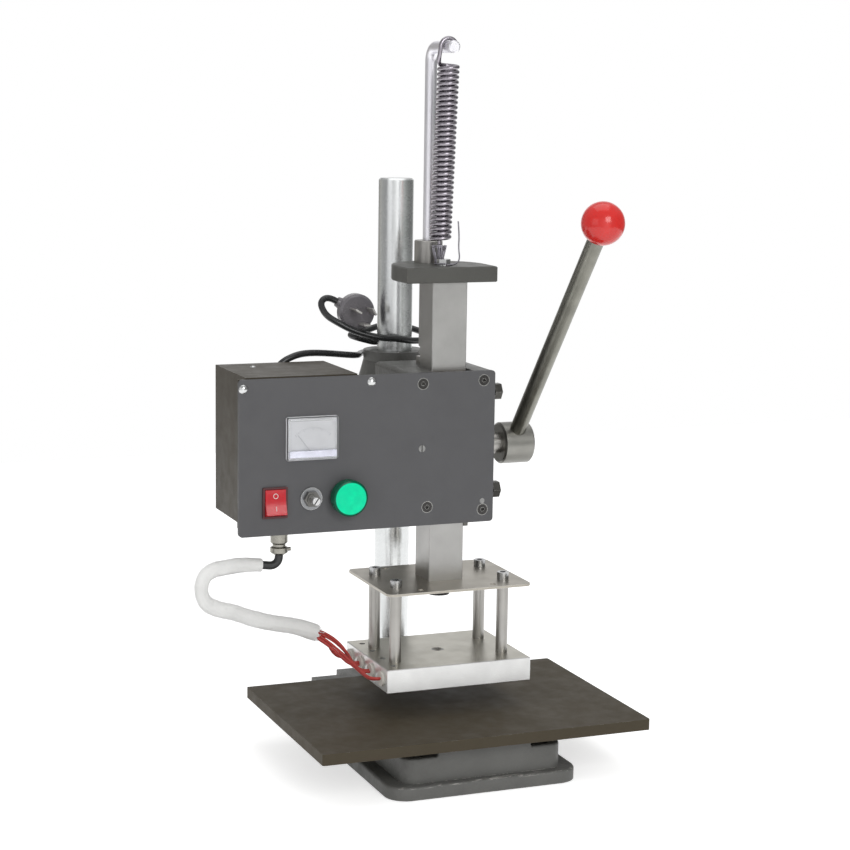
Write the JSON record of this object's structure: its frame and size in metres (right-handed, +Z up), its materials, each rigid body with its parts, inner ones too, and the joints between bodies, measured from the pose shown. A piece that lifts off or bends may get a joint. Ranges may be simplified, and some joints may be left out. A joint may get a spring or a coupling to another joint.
{
  "type": "leather belt embossing machine",
  "caption": "Bench press with a hand lever, rack-driven square ram and a heated plate for embossing leather belts.",
  "frame": {"origin": "underside of the base, straight below the ram's axis", "axes": "+X to the operator's right, +Y away from the operator, +Z up along the ram and the column"},
  "size_m": [0.358, 0.3139, 0.6093],
  "materials": {
    "grey_casting": "satin grey enamel on iron castings, with worn edges",
    "table_plate": "dark oiled steel plate",
    "black_steel": "blackened steel",
    "chromed_bar": "hard chrome on ground bar",
    "ground_steel": "ground steel, lightly oiled",
    "bronze": "cast bronze, machined",
    "spring_steel": "drawn spring wire",
    "binding_wire": "soft annealed wire",
    "plate_steel": "bright cold-rolled steel",
    "block_aluminium": "milled aluminium",
    "heater_fibre": "white fibre seal on a steel cartridge",
    "panel_paint": "matte grey powder coat",
    "sheet_paint": "grey-brown powder coat on sheet steel",
    "zinc_screws": "zinc plate",
    "board_laminate": "green laminate",
    "meter_plastic": "pale moulded plastic",
    "clear_plastic": "clear moulded plastic",
    "black_plastic": "black moulded plastic",
    "red_plastic": "red moulded plastic",
    "bright_metal": "nickel plate",
    "green_ring": "dark green moulded plastic",
    "green_lens": "translucent green plastic",
    "ball_red": "polished red thermoset",
    "cord_black": "black flexible sheath",
    "pin_brass": "plated brass",
    "sleeve_fibre": "white braided glass-fibre sleeve",
    "wire_red": "red silicone insulation"
  },
  "bodies": {
    "base": {"base_casting": "grey_casting", "work_table": "table_plate", "table_screws": "black_steel", "column": "chromed_bar", "column_screw": "black_steel"},
    "head": {"head_casting": "grey_casting", "clamp_bolts": "black_steel", "front_gib": "bronze", "side_gib": "ground_steel", "gib_screws": "black_steel", "left_bush": "bronze", "right_bearing": "bronze", "hanger_rod": "chromed_bar", "hanger_nut": "ground_steel", "return_spring": "spring_steel", "front_panel": "panel_paint", "panel_screws": "black_steel", "box_screws": "zinc_screws", "panel_pins": "ground_steel", "control_box": "sheet_paint", "circuit_board": "board_laminate", "board_spacers": "zinc_screws", "meter_body": "meter_plastic", "meter_cover": "clear_plastic", "rocker_frame": "black_plastic", "control_body": "black_plastic", "control_washer": "bright_metal", "lamp_bezel": "green_ring", "lamp_lens": "green_lens", "lamp_body": "black_plastic", "lead_connector": "bright_metal", "mains_gland": "black_plastic", "power_cord": "cord_black", "plug_body": "cord_black", "plug_pins": "pin_brass", "lead_cable": "cord_black", "heater_sleeve": "sleeve_fibre"},
    "ram": {"ram_bar": "ground_steel", "stop_plate": "black_steel", "stop_bolt": "ground_steel", "guide_bush": "ground_steel", "spring_tie": "binding_wire", "die_plate": "plate_steel", "plate_screws": "black_steel", "post_front_left": "plate_steel", "post_front_right": "plate_steel", "post_rear_left": "plate_steel", "post_rear_right": "plate_steel", "heating_block": "block_aluminium", "heaters": "heater_fibre", "heater_screws": "black_steel", "heater_wires": "wire_red"},
    "lever": {"pinion_shaft": "ground_steel", "retaining_ring": "ground_steel", "lever_hub": "ground_steel", "hub_screw": "black_steel", "lever_rod": "chromed_bar", "ball_knob": "ball_red"},
    "switch_key": {"rocker": "red_plastic"},
    "heat_setting": {"control_shaft": "bright_metal"}
  },
  "joints": [
    {"name": "head_slide", "type": "slide", "parent": "base", "child": "head", "axis": [0, 0, 1], "range_m": [0, 0.1]},
    {"name": "ram_slide", "type": "slide", "parent": "head", "child": "ram", "axis": [0, 0, 1], "range_m": [-0.0226, 0], "stiffness_N_per_m": 600, "springref_m": 0.15, "deforming": ["return_spring"]},
    {"name": "lever_turn", "type": "hinge", "parent": "head", "child": "lever", "pos_m": [0, 0.0295, 0.263], "axis": [1, 0, 0], "range_deg": [0, 82]},
    {"name": "switch_rock", "type": "hinge", "parent": "head", "child": "switch_key", "pos_m": [-0.1553, -0.026, 0.2338], "axis": [1, 0, 0], "range_deg": [0, 24]},
    {"name": "heat_turn", "type": "hinge", "parent": "head", "child": "heat_setting", "pos_m": [-0.1243, -0.0255, 0.2354], "axis": [0, 1, 0], "range_deg": [-150, 150]}
  ],
  "couplings": [
    {"joint": "lever_turn", "follows": "ram_slide", "rad_per_m": -62.5}
  ]
}
